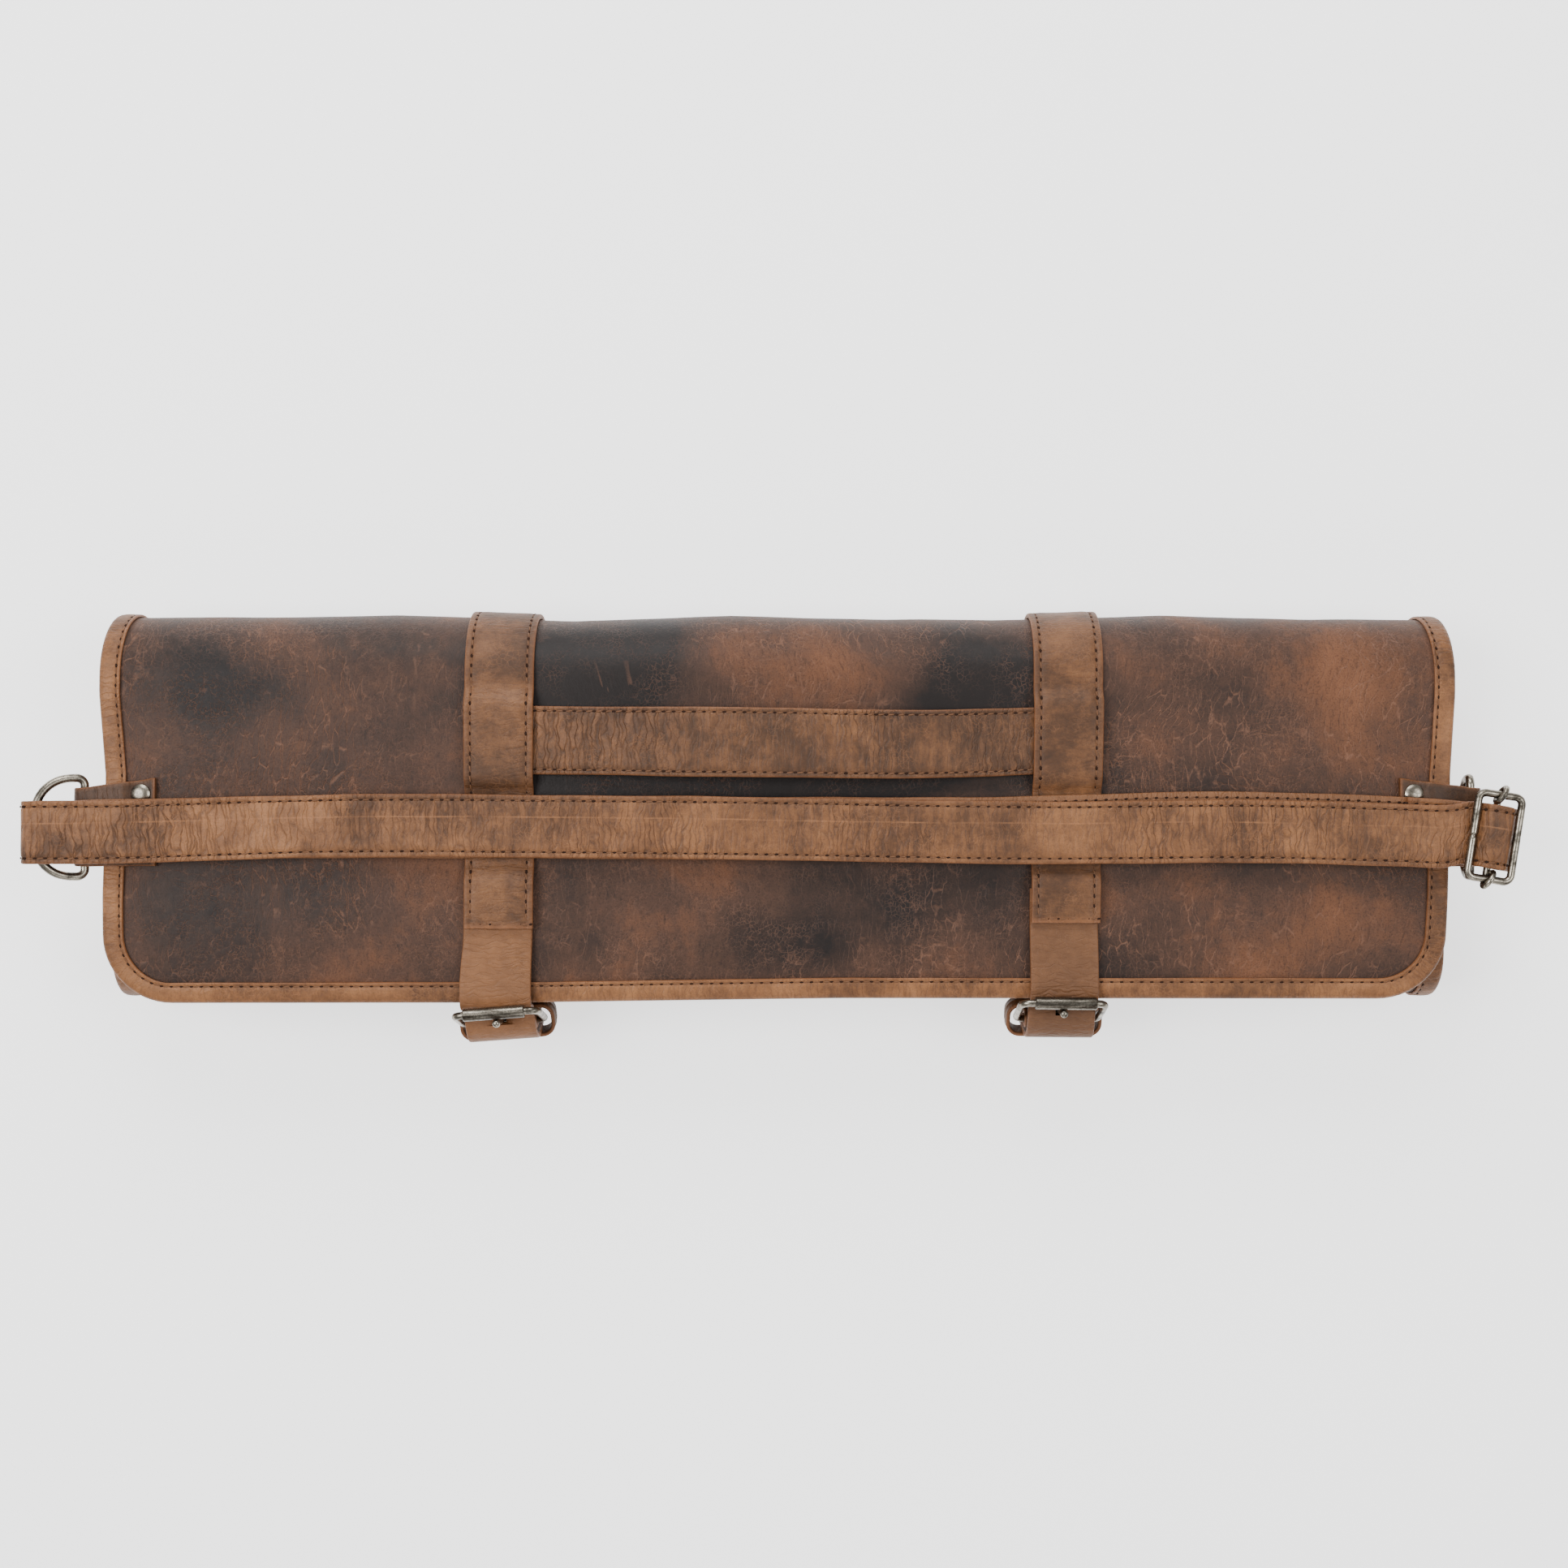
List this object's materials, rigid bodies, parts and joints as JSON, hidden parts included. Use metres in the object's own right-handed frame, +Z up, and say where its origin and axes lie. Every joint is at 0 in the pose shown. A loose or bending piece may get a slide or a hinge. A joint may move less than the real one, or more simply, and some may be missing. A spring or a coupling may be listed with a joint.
{
  "type": "chef knife roll",
  "caption": "Rolled leather knife roll with bound edges, buckled closing straps, a flat carry handle and an adjustable shoulder strap on D rings.",
  "frame": {"origin": "centre of the box around the rolled case, on the surface it lies on", "axes": "+X along the roll towards the adjuster, +Y towards the top fold and away from the buckles, +Z up from the surface"},
  "size_m": [0.548, 0.1645, 0.0666],
  "materials": {
    "panel_leather": "dark brown waxed pull-up leather",
    "trim_leather": "lighter brown waxed leather with raw edges",
    "antique_metal": "antique nickel wire"
  },
  "bodies": {
    "root": {"panel": "panel_leather", "edge_binding": "trim_leather", "closing_strap_left": "trim_leather", "closing_strap_right": "trim_leather", "billet_left": "trim_leather", "billet_right": "trim_leather", "buckle_strap_left": "trim_leather", "buckle_strap_right": "trim_leather", "keeper_left": "trim_leather", "keeper_right": "trim_leather", "carry_handle": "trim_leather", "ring_tab_left": "trim_leather", "ring_tab_right": "trim_leather", "shoulder_strap": "trim_leather", "buckle_frame_left": "antique_metal", "buckle_frame_right": "antique_metal", "buckle_roller_left": "antique_metal", "buckle_roller_right": "antique_metal", "buckle_prong_left": "antique_metal", "buckle_prong_right": "antique_metal", "d_ring_left": "antique_metal", "d_ring_right": "antique_metal", "rivet_left_upper": "antique_metal", "rivet_left_lower": "antique_metal", "rivet_right_upper": "antique_metal", "rivet_right_lower": "antique_metal", "slider_frame": "antique_metal", "slider_bar": "antique_metal"}
  },
  "joints": []
}
